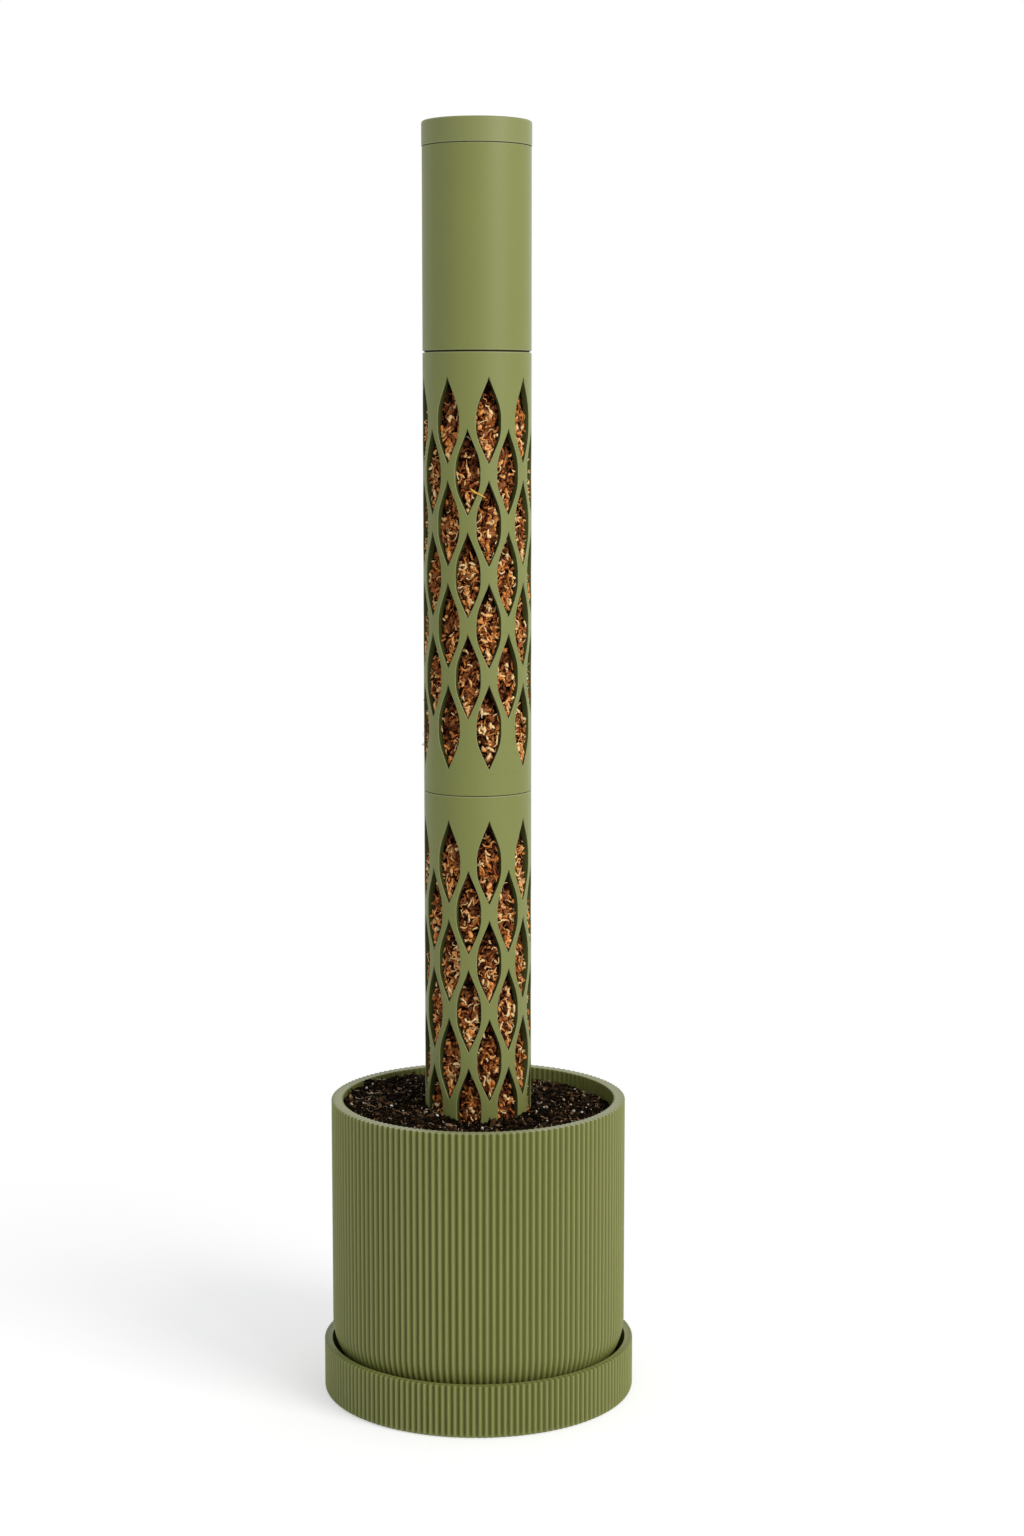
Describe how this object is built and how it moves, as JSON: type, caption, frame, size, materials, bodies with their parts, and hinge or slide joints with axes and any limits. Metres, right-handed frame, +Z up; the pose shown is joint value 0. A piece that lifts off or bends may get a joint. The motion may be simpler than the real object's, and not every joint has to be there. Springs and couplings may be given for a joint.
{
  "type": "moss pole",
  "caption": "Self-watering moss pole of stacked lattice tubes with a capped water reservoir, planted in a ribbed pot standing in a ribbed saucer.",
  "frame": {"origin": "the floor point under the middle of the saucer", "axes": "+Z up along the pole's axis, -Y towards the camera of the picture, +X to its right"},
  "size_m": [0.1472, 0.1472, 0.5932],
  "materials": {
    "pole_plastic": "satin moulded",
    "pot_plastic": "satin moulded, ribbed",
    "moss": "fibrous",
    "soil": "granular",
    "silicone": "satin"
  },
  "bodies": {
    "saucer": {"saucer": "pot_plastic"},
    "planter": {"pot": "pot_plastic", "pot_foot": "pot_plastic", "drain_plate": "pot_plastic", "potting_soil": "soil", "ground_stake": "pole_plastic", "lower_sleeve": "pole_plastic", "lower_moss_core": "moss"},
    "lower_coupling": {"lower_coupling_ring": "pole_plastic"},
    "upper_module": {"upper_sleeve": "pole_plastic", "upper_moss_core": "moss"},
    "upper_coupling": {"upper_coupling_ring": "pole_plastic"},
    "reservoir": {"water_reservoir": "pole_plastic", "drip_washer": "silicone", "drip_plug": "silicone"},
    "cap": {"reservoir_cap": "pole_plastic", "cap_seal_ring": "silicone"}
  },
  "joints": [
    {"name": "pot_lift", "type": "slide", "parent": "saucer", "child": "planter", "axis": [0, 0, 1], "range_m": [0, 0.04]},
    {"name": "lower_coupling_twist", "type": "hinge", "parent": "planter", "child": "lower_coupling", "pos_m": [0, 0, 0.2876], "axis": [0, 0, 1], "range_deg": [0, 35]},
    {"name": "upper_module_lift", "type": "slide", "parent": "lower_coupling", "child": "upper_module", "axis": [0, 0, 1], "range_m": [0, 0.03]},
    {"name": "upper_coupling_twist", "type": "hinge", "parent": "upper_module", "child": "upper_coupling", "pos_m": [0, 0, 0.4895], "axis": [0, 0, 1], "range_deg": [0, 35]},
    {"name": "reservoir_lift", "type": "slide", "parent": "upper_coupling", "child": "reservoir", "axis": [0, 0, 1], "range_m": [0, 0.03]},
    {"name": "cap_lift", "type": "slide", "parent": "reservoir", "child": "cap", "axis": [0, 0, 1], "range_m": [0, 0.035]}
  ]
}
